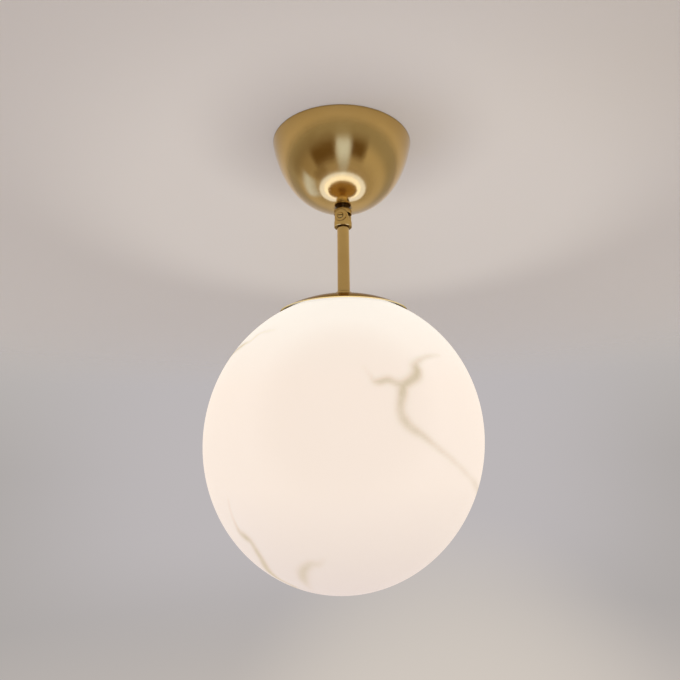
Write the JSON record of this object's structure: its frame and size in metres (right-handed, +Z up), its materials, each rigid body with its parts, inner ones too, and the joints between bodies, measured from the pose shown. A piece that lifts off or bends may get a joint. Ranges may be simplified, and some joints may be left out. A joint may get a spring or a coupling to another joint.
{
  "type": "glass ceiling light",
  "caption": "Ceiling light with a round marbled opal glass globe under a brass dome cap, stem and swivel, hung from a deep brass canopy; the globe drops off to change the lamp.",
  "frame": {"origin": "on the ceiling plane, on the light's upright axis, midway between the two fixing slots of the ceiling bracket", "axes": "+Z up out of the ceiling along the stem, +Y along the swivel's pivot screw away from its head, +X along the ceiling bracket"},
  "size_m": [0.2499, 0.25, 0.4306],
  "materials": {
    "brushed_brass": "brushed and lacquered, satin",
    "brass_hardware": "turned",
    "zinc_steel": "zinc plated",
    "spring_steel": "bright spring strip",
    "lamp_cap_metal": "nickelled",
    "white_plastic": "moulded, satin",
    "ceramic": "glazed ceramic",
    "black_plastic": "moulded",
    "silicone": "soft translucent",
    "marble_glass": "opal white with soft grey-beige veins, satin, lit from inside",
    "lamp_diffuser": "opal"
  },
  "bodies": {
    "fixed_mount": {"ceiling_bracket": "zinc_steel", "ceiling_tube": "zinc_steel", "bracket_nuts": "zinc_steel", "lock_washer": "zinc_steel", "earth_clamp": "zinc_steel", "earth_screw": "zinc_steel", "terminal_block": "white_plastic", "terminal_tubes": "brass_hardware", "terminal_screws": "zinc_steel", "block_screw": "zinc_steel", "canopy": "brushed_brass", "swivel_upper": "brushed_brass", "pivot_screw": "brass_hardware", "pivot_nut": "brass_hardware", "friction_ring": "black_plastic"},
    "pendant": {"swivel_lower": "brushed_brass", "stem": "brushed_brass", "stem_collar": "brushed_brass", "lower_tube": "zinc_steel", "shade_cap": "brushed_brass", "glass_gasket": "silicone", "glass_carrier": "zinc_steel", "carrier_nut": "zinc_steel", "holder_cap": "white_plastic", "holder_body": "white_plastic", "holder_core": "ceramic", "socket_shell": "brass_hardware", "centre_contact": "brass_hardware"},
    "claw_arm_1": {"claw_1": "spring_steel"},
    "claw_arm_2": {"claw_2": "spring_steel"},
    "claw_arm_3": {"claw_3": "spring_steel"},
    "globe": {"glass_globe": "marble_glass"},
    "lamp": {"lamp_contact": "brass_hardware", "lamp_insulator": "black_plastic", "lamp_cap": "lamp_cap_metal", "lamp_housing": "white_plastic", "lamp_diffuser": "lamp_diffuser"}
  },
  "joints": [
    {"name": "stem_tilt", "type": "hinge", "parent": "fixed_mount", "child": "pendant", "pos_m": [0, 0, -0.09], "axis": [0, 1, 0], "range_deg": [-45, 45]},
    {"name": "claw_1_flex", "type": "slide", "parent": "pendant", "child": "claw_arm_1", "axis": [0, -1, 0], "range_m": [0, 0.0034], "stiffness_N_per_m": 900, "springref_m": -0.001},
    {"name": "claw_2_flex", "type": "slide", "parent": "pendant", "child": "claw_arm_2", "axis": [0.866, 0.5, 0], "range_m": [0, 0.0034], "stiffness_N_per_m": 900, "springref_m": -0.001},
    {"name": "claw_3_flex", "type": "slide", "parent": "pendant", "child": "claw_arm_3", "axis": [-0.866, 0.5, 0], "range_m": [0, 0.0034], "stiffness_N_per_m": 900, "springref_m": -0.001},
    {"name": "globe_drop", "type": "slide", "parent": "pendant", "child": "globe", "axis": [0, 0, -1], "range_m": [0, 0.15]},
    {"name": "lamp_out", "type": "slide", "parent": "pendant", "child": "lamp", "axis": [0, 0, -1], "range_m": [0, 0.03]}
  ]
}
